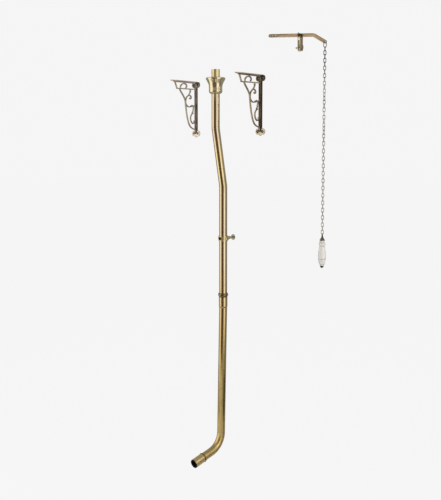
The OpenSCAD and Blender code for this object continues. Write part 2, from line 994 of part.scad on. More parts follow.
module handle_nut() {
    color(dark_brass)
        at_handle()
            translate([0, 0, -nut_drop])
                difference() {
                    rotate_extrude()
                        polygon(concat(
                            [[0, 0], [6.2, 0]],
                            curve([[6.4, -1.4], [5.6, -4.2], [3, -7.6], [0, -nut_h]], 3)
                        ));
                    translate([0, 0, -5.4])
                        cylinder(r = rod_r + clearance, h = 6);
                }
}

// ---------------------------------------------------------------- assembly

bracket_left();
bracket_right();
upper_pipe();
cover_cup();
cup_ring();
clip_rear_half();
clip_front_half();
clip_screws();
clip_nuts();
clip_front_screw();
clip_stud();
clip_rose();
joint_seal();
lower_pipe();
outlet_ferrule();
outlet_seal();
lever_saddle();
clamp_screw();
lever_arm();
pivot_pin();
pivot_washers();
pivot_split_pin();
lever_link();
chain_1();
chain_2();
chain_3();
chain_4();
chain_5();
handle_rod();
handle_cap();
handle_grip();
handle_nut();
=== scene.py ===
import bpy
import json
import math
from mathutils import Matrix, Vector


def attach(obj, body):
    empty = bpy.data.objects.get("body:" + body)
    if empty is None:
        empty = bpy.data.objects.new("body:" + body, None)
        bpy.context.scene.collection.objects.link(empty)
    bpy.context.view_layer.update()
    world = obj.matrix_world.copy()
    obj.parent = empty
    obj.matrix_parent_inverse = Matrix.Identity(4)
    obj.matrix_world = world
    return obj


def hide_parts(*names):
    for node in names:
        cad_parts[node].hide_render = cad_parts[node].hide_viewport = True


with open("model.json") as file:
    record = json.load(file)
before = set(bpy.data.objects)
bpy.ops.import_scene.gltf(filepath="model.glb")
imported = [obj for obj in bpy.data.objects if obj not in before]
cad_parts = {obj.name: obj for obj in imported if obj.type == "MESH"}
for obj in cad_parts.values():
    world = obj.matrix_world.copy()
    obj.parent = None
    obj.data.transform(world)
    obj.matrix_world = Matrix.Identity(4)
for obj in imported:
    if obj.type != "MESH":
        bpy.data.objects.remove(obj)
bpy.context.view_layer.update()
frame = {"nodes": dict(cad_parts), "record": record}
print("frame loaded:", len(frame["nodes"]), "nodes")

scene = bpy.context.scene
scene.view_settings.view_transform = "Standard"

cameraSettings = {
    "place": (1.876, -1.787, -0.316),
    "aim": (-0.716, 0.692, -0.0941),    # looks slantwise and a little down
    "lens": 47.52,
    "sensorWidth": 36,
    "shiftY": -0.072,
    "clipEnd": 200,
}

studio = {
    "backdrop": 0.915,                  # what the camera sees behind everything
    "brassShare": 0.12,                 # how much of the pale backdrop and floor shows in the brass
    "worldLight": (0.355, 0.343, 0.315, 1),
    "floorHeight": -1.95,
    "floorSize": 60.0,
    "floorColour": (0.70, 0.70, 0.69, 1),
    "floorGlow": 0.955,
    "shadowShare": 0.06,
}

# lights and cards stand round the pipe; turn is in degrees to the right of the camera
cameraTurn = math.radians(-43.6)
warmWhite = (1, 0.985, 0.96)
softBoxes = {
    "softBoxTop": {
        "turn": 50, "away": 2.25, "height": 0.50, "size": (2.6, 1.1),
        "radiance": 1.05, "colour": warmWhite,
    },
    "softBoxRight": {
        "turn": 40, "away": 2.3, "height": -0.895, "size": (1.77, 1.69),
        "radiance": 1.18, "colour": warmWhite,
    },
    "softBoxLow": {
        "turn": -24, "away": 1.3, "height": -1.74, "size": (1.5, 0.36),
        "radiance": 0.52, "colour": (1, 0.98, 0.95),
    },
    "softBoxLeft": {
        "turn": -78, "away": 2.2, "height": -0.75, "size": (2.4, 3.8),
        "radiance": 1.15, "colour": (1, 0.97, 0.95),
    },
    "softBoxUnderCup": {                # the bright line in the cup's flare
        "turn": 27, "away": 0.7, "height": -0.80, "size": (0.12, 0.60),
        "radiance": 0.5, "colour": warmWhite, "metalOnly": True,
    },
    "fillBox": {                        # for the glaze and the rubber, never seen in the metal
        "turn": 20, "away": 2.6, "height": 0.6, "size": (1.6, 1.6),
        "radiance": 1.1, "colour": (1, 1, 1), "mattOnly": True,
    },
}
brownCard = (0.40, 0.265, 0.155, 1)
cardRoughness = 0.9
darkFlags = {
    "flagBesideLens": {
        "turn": -24, "away": 1.25, "height": -0.7725, "size": (1.5, 1.555),
        "shade": brownCard,
    },
    "flagUnderCup": {
        "turn": -24, "away": 0.45, "height": -0.92, "size": (0.24, 0.74),
        "shade": brownCard,
    },
    "flagLowRight": {
        "turn": 74, "away": 0.9, "height": -1.69, "size": (1.0, 0.36),
        "shade": (0.16, 0.12, 0.09, 1),
    },
}


def addCamera(s):
    data = bpy.data.cameras.new("photoCamera")
    data.lens = s["lens"]
    data.sensor_width = s["sensorWidth"]
    data.shift_y = s["shiftY"]
    data.clip_end = s["clipEnd"]
    cam = bpy.data.objects.new("photoCamera", data)
    cam.location = s["place"]
    cam.rotation_euler = Vector(s["aim"]).to_track_quat("-Z", "Y").to_euler()
    scene.collection.objects.link(cam)
    scene.camera = cam


def placeRound(s):
    angle = cameraTurn + math.radians(s["turn"])
    return Vector((math.cos(angle) * s["away"], math.sin(angle) * s["away"], s["height"]))


def facePipe(obj, s, side):
    obj.location = placeRound(s)
    aim = Vector((0, 0, s["height"])) - obj.location
    obj.rotation_euler = aim.to_track_quat(side, "Y").to_euler()


def addSoftBox(name, s):
    data = bpy.data.lights.new(name, "AREA")
    data.shape = "RECTANGLE"
    data.size, data.size_y = s["size"]
    data.energy = s["radiance"] * math.pi * data.size * data.size_y
    data.color = s["colour"]
    lamp = bpy.data.objects.new(name, data)
    facePipe(lamp, s, "-Z")
    lamp.visible_camera = False
    lamp.visible_glossy = not s.get("mattOnly", False)
    lamp.visible_diffuse = not s.get("metalOnly", False)
    scene.collection.objects.link(lamp)


def mathStep(tree, operation, first, second):
    node = tree.nodes.new("ShaderNodeMath")
    node.operation = operation
    for socket, value in zip(node.inputs, (first, second)):
        if isinstance(value, (int, float)):
            socket.default_value = value
        else:
            tree.links.new(value, socket)
    return node.outputs[0]


def paleShare(tree, s):
    # how pale the backdrop and the floor look to a ray: whole to the camera, in part to the metal
    path = tree.nodes.new("ShaderNodeLightPath")
    share = mathStep(tree, "MULTIPLY", path.outputs["Is Glossy Ray"], s["brassShare"])
    share = mathStep(tree, "MAXIMUM", share, path.outputs["Is Transmission Ray"])
    return mathStep(tree, "MAXIMUM", share, path.outputs["Is Camera Ray"])


def mixShaders(tree, share, first, second, output):
    mix = tree.nodes.new("ShaderNodeMixShader")
    out = tree.nodes.new(output)
    tree.links.new(share, mix.inputs[0])
    tree.links.new(first.outputs[0], mix.inputs[1])
    tree.links.new(second.outputs[0], mix.inputs[2])
    tree.links.new(mix.outputs[0], out.inputs["Surface"])


def addWorld(s):
    world = bpy.data.worlds.new("studioWorld")
    world.use_nodes = True
    scene.world = world
    tree = world.node_tree
    tree.nodes.clear()
    seen = tree.nodes.new("ShaderNodeBackground")
    seen.inputs["Color"].default_value = level(s["backdrop"])
    lit = tree.nodes.new("ShaderNodeBackground")
    lit.inputs["Color"].default_value = s["worldLight"]
    mixShaders(tree, paleShare(tree, s), lit, seen, "ShaderNodeOutputWorld")


def addFloor(s):
    bpy.ops.object.select_all(action="DESELECT")
    bpy.ops.mesh.primitive_plane_add(size=s["floorSize"], location=(0, 0, s["floorHeight"]))
    floor = bpy.context.object
    floor.name = "studioFloor"
    mat = bpy.data.materials.new("floorPaper")
    mat.use_nodes = True
    tree = mat.node_tree
    tree.nodes.clear()
    paper = tree.nodes.new("ShaderNodeBsdfDiffuse")
    paper.inputs["Color"].default_value = s["floorColour"]
    glow = tree.nodes.new("ShaderNodeEmission")
    glow.inputs["Color"].default_value = level(s["floorGlow"])
    share = mathStep(tree, "MULTIPLY", paleShare(tree, s), 1 - s["shadowShare"])
    mixShaders(tree, share, paper, glow, "ShaderNodeOutputMaterial")
    floor.data.materials.append(mat)


def addFlag(name, s):
    # a dark card that only the metal sees, for the dark line down the pipes
    bpy.ops.object.select_all(action="DESELECT")
    bpy.ops.mesh.primitive_plane_add(size=1)
    card = bpy.context.object
    card.name = name
    card.scale = (*s["size"], 1)
    facePipe(card, s, "Z")
    card.visible_camera = False
    card.visible_shadow = False
    card.visible_diffuse = False
    mat, _, skin = newMaterial(name)
    skin.inputs["Base Color"].default_value = s["shade"]
    skin.inputs["Roughness"].default_value = cardRoughness
    skin.inputs["Specular IOR Level"].default_value = 0
    card.data.materials.append(mat)


def newMaterial(name):
    mat = bpy.data.materials.new(name)
    mat.use_nodes = True
    tree = mat.node_tree
    return mat, tree, tree.nodes["Principled BSDF"]


def newMetal(name, s):
    mat, tree, skin = newMaterial(name)
    skin.inputs["Metallic"].default_value = s["metal"]
    return mat, tree, skin


def level(value):
    return (value, value, value, 1)


addCamera(cameraSettings)
addWorld(studio)
addFloor(studio)
for name, box in softBoxes.items():
    addSoftBox(name, box)
for name, flag in darkFlags.items():
    addFlag(name, flag)
print("studio ready")


# how the finishes read corners, hollows and patches
reading = {
    "samples": 8,
    "rim": (0.35, 0.75),
    "hollowShade": (0.30, 0.80),
    "polish": (0.35, 0.7),
}


def opaque(colour):
    return colour if len(colour) == 4 else (*colour, 1)


def objectCoords(tree, scale=(1, 1, 1)):
    coords = tree.nodes.new("ShaderNodeTexCoord")
    mapping = tree.nodes.new("ShaderNodeMapping")
    mapping.inputs["Scale"].default_value = scale
    tree.links.new(coords.outputs["Object"], mapping.inputs["Vector"])
    return mapping.outputs["Vector"]


def noise(tree, vector, scale, detail, rough, distortion=0.0):
    node = tree.nodes.new("ShaderNodeTexNoise")
    node.inputs["Scale"].default_value = scale
    node.inputs["Detail"].default_value = detail
    node.inputs["Roughness"].default_value = rough
    node.inputs["Distortion"].default_value = distortion
    tree.links.new(vector, node.inputs["Vector"])
    return node.outputs["Fac"]


def ramp(tree, factor, start, end, first, second):
    node = tree.nodes.new("ShaderNodeValToRGB")
    low, high = node.color_ramp.elements
    low.position, low.color = start, opaque(first)
    high.position, high.color = end, opaque(second)
    tree.links.new(factor, node.inputs["Fac"])
    return node.outputs["Color"]


def rise(tree, factor, start, end, low=0, high=1):
    # a grey ramp, from low at the start to high at the end
    return ramp(tree, factor, start, end, level(low), level(high))


def mixColours(tree, factor, first, second):
    node = tree.nodes.new("ShaderNodeMix")
    node.data_type = "RGBA"
    tree.links.new(factor, node.inputs[0])
    for socket, value in ((node.inputs[6], first), (node.inputs[7], second)):
        if isinstance(value, tuple):
            socket.default_value = opaque(value)
        else:
            tree.links.new(value, socket)
    return node.outputs[2]


def times(tree, first, second):
    return mathStep(tree, "MULTIPLY", first, second)


def bump(tree, skin, height, strength, distance):
    node = tree.nodes.new("ShaderNodeBump")
    node.inputs["Strength"].default_value = strength
    node.inputs["Distance"].default_value = distance
    tree.links.new(height, node.inputs["Height"])
    tree.links.new(node.outputs["Normal"], skin.inputs["Normal"])


def span(tree, value, start, end):
    node = tree.nodes.new("ShaderNodeMapRange")
    node.inputs["From Min"].default_value = start
    node.inputs["From Max"].default_value = end
    tree.links.new(value, node.inputs["Value"])
    return node.outputs["Result"]


def axes(tree):
    coords = tree.nodes.new("ShaderNodeTexCoord")
    parts = tree.nodes.new("ShaderNodeSeparateXYZ")
    tree.links.new(coords.outputs["Object"], parts.inputs["Vector"])
    return parts.outputs


def along(tree, axis, start, end):
    # rises from 0 to 1 between two places on one axis, in metres
    return span(tree, axes(tree)[axis], start, end)


def between(tree, axis, low, lowFull, highFull, high):
    # 1 between the two full places, 0 past the outer ones
    return times(tree, along(tree, axis, low, lowFull), along(tree, axis, high, highFull))


def alongLine(tree, line, start, end):
    coords = tree.nodes.new("ShaderNodeTexCoord")
    reach = tree.nodes.new("ShaderNodeVectorMath")
    reach.operation = "DOT_PRODUCT"
    reach.inputs[1].default_value = line
    tree.links.new(coords.outputs["Object"], reach.inputs[0])
    return span(tree, reach.outputs["Value"], start, end)


def roundMark(tree, s):
    # 1 within a mark's radius of the screw holes, two and two about a bracket's middle
    parts = axes(tree)
    joined = tree.nodes.new("ShaderNodeCombineXYZ")
    for axis, (middle, half) in s["holes"].items():
        offset = mathStep(tree, "SUBTRACT", parts[axis], middle)
        offset = mathStep(tree, "ABSOLUTE", offset, 0)
        offset = mathStep(tree, "SUBTRACT", offset, half)
        tree.links.new(offset, joined.inputs[axis])
    reach = tree.nodes.new("ShaderNodeVectorMath")
    reach.operation = "LENGTH"
    tree.links.new(joined.outputs[0], reach.inputs[0])
    return span(tree, reach.outputs["Value"], *s["holeMark"])


def closeness(tree, size, inside):
    node = tree.nodes.new("ShaderNodeAmbientOcclusion")
    node.inside = inside
    node.samples = reading["samples"]
    node.inputs["Distance"].default_value = size
    return node.outputs["AO"]


def rim(tree, size, share):
    # where a corner turns away within this distance
    turned = rise(tree, closeness(tree, size, inside=True), *reading["rim"])
    return times(tree, turned, share)


def hollowShade(tree, size, share):
    # painted shade in holes and inner corners
    return rise(tree, closeness(tree, size, inside=False), *reading["hollowShade"], share, 0)


def polish(tree, skin, patches, smooth, dull):
    tree.links.new(rise(tree, patches, *reading["polish"], smooth, dull), skin.inputs["Roughness"])


pipeFinish = {
    "metal": 1.0,
    "upperTan": (0.60, 0.50, 0.34),
    "upperGrey": (0.52, 0.43, 0.29),
    "gold": (0.62, 0.51, 0.25),
    "goldLengths": (                    # the top end and the offset
        (-0.040, -0.030, 0.05, 0.06),
        (-0.48, -0.43, -0.31, -0.27),
    ),
    "goldShare": 0.65,
    "lowerGold": (0.52, 0.39, 0.165),
    "lowerBrown": (0.41, 0.30, 0.125),
    "upperFrom": (-1.05, -0.75),
    "bendGold": (0.75, 0.565, 0.24),
    "bendFrom": (-1.36, -1.42),
    "bendShare": 0.55,
    "tarnish": (0.16, 0.115, 0.06),
    # painted shade on the ferrule's bead
    "beadShade": (0.06, 0.04, 0.02),
    "beadShare": 0.9,
    "outletLine": (0, -0.978148, -0.207912),
    "bead": (0.3875, 0.3883, 0.3917, 0.3925),       # the ferrule's bead, by distance along that line
    "collar": (-0.9005, -0.8985, -0.8815, -0.8800),
    "collarShare": 0.8,
    "roughness": (0.10, 0.17),
    "satin": 0.37,                      # duller round the outlet bend
    "drawnScale": (34, 34, 1.1),
    "streaks": {"scale": 7, "detail": 5, "rough": 0.6},
    "streakRise": (0.3, 0.7),
    "patchScale": (1, 1, 0.6),
    "patches": {"scale": 16, "detail": 4, "rough": 0.6, "distortion": 0.3},
    "patchRise": (0.56, 0.78, 0, 0.55),
    "specks": {"scale": 420, "detail": 2, "rough": 0.5},
    "speckRise": (0.72, 0.78, 0, 0.25),
    "hollows": (0.002, 0.6),
    "bump": (0.04, 0.00004),
}
# the upper pipe has no collar, and it shows where the slip joint is drawn out
upperPipeFinish = dict(pipeFinish, collarShare=0.0)
lowerPipeFinish = dict(pipeFinish, roughness=(0.15, 0.23))
ferruleFinish = dict(pipeFinish, satin=0.33, bendGold=(0.75, 0.58, 0.29), bendShare=0.85)


def pipeBrass(name, s):
    # drawn along its length, with gold where it is rubbed and tarnish in patches; painted shade in
    # hollows and on the ferrule's bead
    mat, tree, skin = newMetal(name, s)
    streaks = noise(tree, objectCoords(tree, s["drawnScale"]), **s["streaks"])
    patches = noise(tree, objectCoords(tree, s["patchScale"]), **s["patches"])
    specks = noise(tree, objectCoords(tree), **s["specks"])
    shade = rise(tree, streaks, *s["streakRise"])
    upper = mixColours(tree, shade, s["upperTan"], s["upperGrey"])
    lower = mixColours(tree, shade, s["lowerGold"], s["lowerBrown"])
    for length in s["goldLengths"]:
        gilt = times(tree, between(tree, "Z", *length), s["goldShare"])
        upper = mixColours(tree, gilt, upper, s["gold"])
    body = mixColours(tree, along(tree, "Z", *s["upperFrom"]), lower, upper)
    bend = along(tree, "Z", *s["bendFrom"])
    body = mixColours(tree, times(tree, bend, s["bendShare"]), body, s["bendGold"])
    body = mixColours(tree, rise(tree, patches, *s["patchRise"]), body, s["tarnish"])
    body = mixColours(tree, rise(tree, specks, *s["speckRise"]), body, s["tarnish"])
    collar = times(tree, between(tree, "Z", *s["collar"]), s["collarShare"])
    body = mixColours(tree, collar, body, s["tarnish"])
    # painted shade: a near-black ring round the ferrule's bead
    low, lowFull, highFull, high = s["bead"]
    bead = times(tree, alongLine(tree, s["outletLine"], high, highFull),
                 alongLine(tree, s["outletLine"], low, lowFull))
    body = mixColours(tree, times(tree, bead, s["beadShare"]), body, s["beadShade"])
    # painted shade in hollows and inner corners, in the tarnish colour
    body = mixColours(tree, hollowShade(tree, *s["hollows"]), body, s["tarnish"])
    tree.links.new(body, skin.inputs["Base Color"])
    shine = rise(tree, patches, *reading["polish"], *s["roughness"])
    tree.links.new(mixColours(tree, bend, shine, level(s["satin"])), skin.inputs["Roughness"])
    bump(tree, skin, streaks, *s["bump"])
    return mat


turnedFinish = {
    "metal": 1.0,
    "tarnish": (0.30, 0.21, 0.145),
    "ringSpread": (0.02, 0.02, 1),
    "ringScale": 500,
    "rings": {"detail": 2, "rough": 0.5},
    "patches": {"scale": 60, "detail": 5, "rough": 0.6, "distortion": 0.4},
    "shadeRise": (0.35, 0.65),
    "tarnishRise": (0.60, 0.78, 0, 0.7),
    "bump": (0.05, 0.0001),
}
cupFinish = dict(
    turnedFinish, gold=(0.71, 0.62, 0.415), shade=(0.60, 0.51, 0.32),
    roughness=(0.09, 0.17), metal=0.94, ringScale=900)
clipFinish = dict(
    turnedFinish, gold=(0.68, 0.59, 0.35), shade=(0.56, 0.47, 0.26),
    roughness=(0.30, 0.42),
    blackSpot={                         # a black disc round the front screw, on the clip's front
        "holes": {"X": (0, 0), "Z": (-0.661, 0)},
        "holeMark": (0.0072, 0.0066),
        "front": (0.0225, 0.0219),
        "colour": (0.02, 0.016, 0.013),
    })
studFinish = dict(
    turnedFinish, gold=(0.62, 0.53, 0.44), shade=(0.50, 0.42, 0.34),
    roughness=(0.3, 0.4))
pivotFinish = dict(
    turnedFinish, gold=(0.17, 0.125, 0.06), shade=(0.075, 0.055, 0.03), tarnish=(0.30, 0.21, 0.11),
    roughness=(0.30, 0.46), ringScale=700, tarnishRise=(0.66, 0.84, 0, 0.7))
capFinish = dict(
    turnedFinish, gold=(0.31, 0.225, 0.155), shade=(0.18, 0.13, 0.085), tarnish=(0.06, 0.05, 0.03),
    roughness=(0.12, 0.22))
nutFinish = dict(
    turnedFinish, gold=(0.11, 0.09, 0.06), shade=(0.05, 0.042, 0.03), tarnish=(0.20, 0.15, 0.09),
    roughness=(0.30, 0.46), ringScale=700)
blackenedFinish = dict(
    turnedFinish, gold=(0.022, 0.018, 0.015), shade=(0.015, 0.012, 0.010), tarnish=(0.05, 0.04, 0.03),
    roughness=(0.4, 0.6), ringScale=700)
steelFinish = dict(
    turnedFinish, gold=(0.36, 0.34, 0.32), shade=(0.17, 0.155, 0.14), tarnish=(0.12, 0.085, 0.055),
    roughness=(0.25, 0.42), ringScale=700, tarnishRise=(0.62, 0.80, 0, 0.7))


def turnedMetal(name, s):
    # turned on a lathe: fine rings across, with tarnish in patches
    mat, tree, skin = newMetal(name, s)
    rings = noise(tree, objectCoords(tree, s["ringSpread"]), s["ringScale"], **s["rings"])
    patches = noise(tree, objectCoords(tree), **s["patches"])
    body = mixColours(tree, rise(tree, patches, *s["shadeRise"]), s["gold"], s["shade"])
    body = mixColours(tree, rise(tree, patches, *s["tarnishRise"]), body, s["tarnish"])
    if "blackSpot" in s:
        spot = s["blackSpot"]
        mark = times(tree, roundMark(tree, spot), along(tree, "Y", *spot["front"]))
        body = mixColours(tree, mark, body, spot["colour"])
    tree.links.new(body, skin.inputs["Base Color"])
    polish(tree, skin, patches, *s["roughness"])
    bump(tree, skin, rings, *s["bump"])
    return mat


bracketFinish = {
    "metal": 0.9,
    "scroll": (0.37, 0.31, 0.258),
    "scrollShade": (0.24, 0.196, 0.16),
    # painted highlight on the arm's top edge, painted shading on its underside band
    "armTopHighlight": (0.50, 0.43, 0.31),
    "armUnderShading": (0.52, 0.42, 0.375),
    "strap": (0.145, 0.108, 0.086),
    "strapShade": (0.10, 0.073, 0.057),
    # painted shade: the top ear lies in shadow
    "shadedTopEar": (0.175, 0.15, 0.12),
    "bottomEar": (0.72, 0.64, 0.52),
    "rubbed": (0.50, 0.42, 0.30),
    "rubbedRim": (0.0012, 0.40),
    "footWear": 0.4,
    # painted shade for hollows and screw holes
    "recessShade": (0.035, 0.028, 0.018),
    "hollows": (0.004, 0.8),
    "holes": {"X": (-0.220, 0.0125), "Z": (-0.1385, 0.101)},
    "holeMark": (0.0058, 0.0052),
    "holeShade": 0.72,
    "armUnderFrom": (-0.0335, -0.0325),
    "armEdgeFrom": (-0.0278, -0.0270),
    "strapFrom": (0.0905, 0.0915),      # in front of this only the scrolls and the arm
    "strapFront": (0.0931, 0.0934),
    "earFront": (0.088, 0.090),
    "earTop": (-0.0505, -0.0465),
    "earBottom": (-0.2262, -0.2292),
    "grain": {"scale": 900, "detail": 3, "rough": 0.6},
    "patches": {"scale": 60, "detail": 5, "rough": 0.6, "distortion": 0.3},
    "patchRise": (0.38, 0.64),
    "roughness": (0.30, 0.48),
    "bump": (0.25, 0.0003),
}
# the right casting is the darker of the two
rightBracketFinish = dict(
    bracketFinish,
    scroll=(0.225, 0.178, 0.118), scrollShade=(0.138, 0.104, 0.066), armUnderShading=(0.25, 0.19, 0.15),
    strap=(0.086, 0.063, 0.036), strapShade=(0.047, 0.033, 0.016),
    shadedTopEar=(0.135, 0.117, 0.07), bottomEar=(0.56, 0.485, 0.355),
    holes={"X": (0.148, 0.0125), "Z": (-0.1385, 0.101)},
    holeMark=(0.0064, 0.0058), holeShade=0.97)


def bracketBrass(name, s):
    # sand casting with a dark patina, rubbed bright on the foot and along the edges; painted light
    # and shade on the arm, painted shade on the top ear, in hollows and in the screw holes
    mat, tree, skin = newMetal(name, s)
    grain = noise(tree, objectCoords(tree), **s["grain"])
    patches = noise(tree, objectCoords(tree), **s["patches"])
    patch = rise(tree, patches, *s["patchRise"])
    body = mixColours(tree, patch, s["scroll"], s["scrollShade"])
    body = mixColours(tree, rim(tree, *s["rubbedRim"]), body, s["rubbed"])
    # painted shading on the arm's underside band, painted highlight on its top edge
    body = mixColours(tree, along(tree, "Z", *s["armUnderFrom"]), body, s["armUnderShading"])
    body = mixColours(tree, along(tree, "Z", *s["armEdgeFrom"]), body, s["armTopHighlight"])
    strap = mixColours(tree, patch, s["strap"], s["strapShade"])
    body = mixColours(tree, along(tree, "Y", *s["strapFrom"]), body, strap)
    # painted shade on the top ear
    shadedTopEar = times(tree, along(tree, "Y", *s["earFront"]), along(tree, "Z", *s["earTop"]))
    body = mixColours(tree, shadedTopEar, body, s["shadedTopEar"])
    foot = mixColours(tree, times(tree, patch, s["footWear"]), s["bottomEar"], s["rubbed"])
    bottomEar = times(tree, along(tree, "Z", *s["earBottom"]), along(tree, "Y", *s["strapFront"]))
    body = mixColours(tree, bottomEar, body, foot)
    # painted shade in hollows and inner corners
    body = mixColours(tree, hollowShade(tree, *s["hollows"]), body, s["recessShade"])
    # painted shade in the screw holes
    body = mixColours(tree, times(tree, roundMark(tree, s), s["holeShade"]), body, s["recessShade"])
    tree.links.new(body, skin.inputs["Base Color"])
    polish(tree, skin, patches, *s["roughness"])
    bump(tree, skin, grain, *s["bump"])
    return mat


# painted shade for hollows and the saddle's fork
castRecessShade = (0.055, 0.042, 0.022)
roseFinish = {
    "metal": 0.9,
    "rubbed": (0.46, 0.47, 0.35),
    "brown": (0.35, 0.35, 0.25),
    "faces": (),                        # axis, from, to, share and colour of a face where light and shade are painted
    "recessShade": castRecessShade,
    "hollows": (0.004, 0.35),
    "grain": {"scale": 900, "detail": 3, "rough": 0.6},
    "patches": {"scale": 110, "detail": 5, "rough": 0.6, "distortion": 0.3},
    "patchRise": (0.38, 0.64),
    "roughness": (0.32, 0.50),
    "bump": (0.25, 0.0003),
}
saddleFinish = dict(
    roseFinish, rubbed=(0.60, 0.51, 0.34), brown=(0.47, 0.385, 0.24),
    faces=(
        ("X", 0.4125, 0.4135, 0.65, (0.72, 0.63, 0.46)),        # painted light inside the legs, where they shade each other
        ("X", 0.4224, 0.4229, 1.0, (0.235, 0.195, 0.125)),      # painted shade, olive, on the outer leg's outer face
        ("Z", 0.074, 0.080, 0.8, castRecessShade),                     # painted shade on the fork
    ))


def castBrass(name, s):
    mat, tree, skin = newMetal(name, s)
    grain = noise(tree, objectCoords(tree), **s["grain"])
    patches = noise(tree, objectCoords(tree), **s["patches"])
    body = mixColours(tree, rise(tree, patches, *s["patchRise"]), s["rubbed"], s["brown"])
    for axis, start, end, share, colour in s["faces"]:
        body = mixColours(tree, times(tree, along(tree, axis, start, end), share), body, colour)
    # painted shade in hollows and inner corners
    body = mixColours(tree, hollowShade(tree, *s["hollows"]), body, s["recessShade"])
    tree.links.new(body, skin.inputs["Base Color"])
    polish(tree, skin, patches, *s["roughness"])
    bump(tree, skin, grain, *s["bump"])
    return mat


leverFinish = {
    "metal": 1.0,
    "tan": (0.62, 0.475, 0.34),
    "gold": (0.60, 0.475, 0.29),
    "goldFrom": (0.43, 0.47),
    "shade": (0.46, 0.35, 0.23),
    "shadeRise": (0.35, 0.7),
    # painted shade along the bar's edges
    "edge": (0.24, 0.17, 0.10),
    "edgeRim": (0.0012, 0.75),
    "tarnish": (0.11, 0.078, 0.05),
    "tarnishRise": (0.60, 0.74, 0, 0.5),
    "holesEnd": (0.322, 0.300),         # the flattened end with the hook holes
    "blotchRise": (0.37, 0.51, 0, 0.85),
    "hollows": (0.003, 0.85),
    "drawnScale": (1, 6, 6),
    "drawn": {"scale": 60, "detail": 4, "rough": 0.55},
    "patches": {"scale": 130, "detail": 4, "rough": 0.6, "distortion": 0.4},
    "roughness": (0.28, 0.44),
    "bump": (0.08, 0.0002),
}


def leverBrass(name, s):
    mat, tree, skin = newMetal(name, s)
    drawn = noise(tree, objectCoords(tree, s["drawnScale"]), **s["drawn"])
    patches = noise(tree, objectCoords(tree), **s["patches"])
    body = mixColours(tree, along(tree, "X", *s["goldFrom"]), s["tan"], s["gold"])
    body = mixColours(tree, rise(tree, drawn, *s["shadeRise"]), body, s["shade"])
    body = mixColours(tree, rise(tree, patches, *s["tarnishRise"]), body, s["tarnish"])
    # painted shade along the bar's edges, where they turn away
    body = mixColours(tree, rim(tree, *s["edgeRim"]), body, s["edge"])
    blotches = times(tree, along(tree, "X", *s["holesEnd"]), rise(tree, patches, *s["blotchRise"]))
    body = mixColours(tree, blotches, body, s["tarnish"])
    # painted shade in hollows and inner corners, in the tarnish colour
    body = mixColours(tree, hollowShade(tree, *s["hollows"]), body, s["tarnish"])
    tree.links.new(body, skin.inputs["Base Color"])
    polish(tree, skin, patches, *s["roughness"])
    bump(tree, skin, drawn, *s["bump"])
    return mat


chainFinish = {
    "metal": 1.0,
    "dark": (0.15, 0.125, 0.11),
    "darkShade": (0.065, 0.055, 0.045),
    "pale": (0.60, 0.57, 0.52),
    "paleShade": (0.34, 0.32, 0.29),
    "paleFrom": (-0.01, -0.09),         # the links at the lever are darker, paler below
    "rust": (0.13, 0.09, 0.06),
    "rustRise": (0.64, 0.80, 0, 0.6),
    "drawn": {"scale": 700, "detail": 3, "rough": 0.6},
    "patches": {"scale": 60, "detail": 5, "rough": 0.6, "distortion": 0.4},
    "patchRise": (0.35, 0.65),
    "roughness": (0.25, 0.42),
    "bump": (0.08, 0.0001),
}


def chainSteel(name, s):
    mat, tree, skin = newMetal(name, s)
    drawn = noise(tree, objectCoords(tree), **s["drawn"])
    patches = noise(tree, objectCoords(tree), **s["patches"])
    patch = rise(tree, patches, *s["patchRise"])
    dark = mixColours(tree, patch, s["dark"], s["darkShade"])
    pale = mixColours(tree, patch, s["pale"], s["paleShade"])
    body = mixColours(tree, along(tree, "Z", *s["paleFrom"]), dark, pale)
    body = mixColours(tree, rise(tree, patches, *s["rustRise"]), body, s["rust"])
    tree.links.new(body, skin.inputs["Base Color"])
    polish(tree, skin, patches, *s["roughness"])
    bump(tree, skin, drawn, *s["bump"])
    return mat


gripFinish = {
    "roughness": 0.16,
    "coat": 0.5,
    "coatRoughness": 0.08,
    "white": (0.90, 0.90, 0.875),
    "cream": (0.885, 0.875, 0.845),
    "cloudStretch": (1, 1, 0.25),
    "clouds": {"scale": 70, "detail": 3, "rough": 0.5},
    "cloudRise": (0.35, 0.7),
    "crack": (0.62, 0.60, 0.55),
    "crackStretch": (1, 1, 0.7),
    "crackScale": 260,
    "crackRise": (0.0, 0.03, 0.10, 0),
    # painted shade in the grooves
    "groove": (0.34, 0.33, 0.29),
    "grooves": (-0.6224, -0.6333, -0.6783, -0.6958),
    "grooveWidth": 0.0016,
    "grooveEdge": 0.0003,
    "grooveShare": 0.8,
    "bump": (0.03, 0.0005),
}


def glazedWhite(name, s):
    mat, tree, skin = newMaterial(name)
    skin.inputs["Roughness"].default_value = s["roughness"]
    skin.inputs["Coat Weight"].default_value = s["coat"]
    skin.inputs["Coat Roughness"].default_value = s["coatRoughness"]
    clouds = noise(tree, objectCoords(tree, s["cloudStretch"]), **s["clouds"])
    cracks = tree.nodes.new("ShaderNodeTexVoronoi")
    cracks.feature = "DISTANCE_TO_EDGE"
    cracks.inputs["Scale"].default_value = s["crackScale"]
    tree.links.new(objectCoords(tree, s["crackStretch"]), cracks.inputs["Vector"])
    body = mixColours(tree, rise(tree, clouds, *s["cloudRise"]), s["white"], s["cream"])
    cracked = rise(tree, cracks.outputs["Distance"], *s["crackRise"])
    body = mixColours(tree, cracked, body, s["crack"])
    half, edge = s["grooveWidth"] / 2, s["grooveEdge"]
    # painted shade: dark lines in the grooves
    for height in s["grooves"]:
        low, high = height - half, height + half
        line = between(tree, "Z", low - edge, low, high, high + edge)
        body = mixColours(tree, times(tree, line, s["grooveShare"]), body, s["groove"])
    tree.links.new(body, skin.inputs["Base Color"])
    bump(tree, skin, clouds, *s["bump"])
    return mat


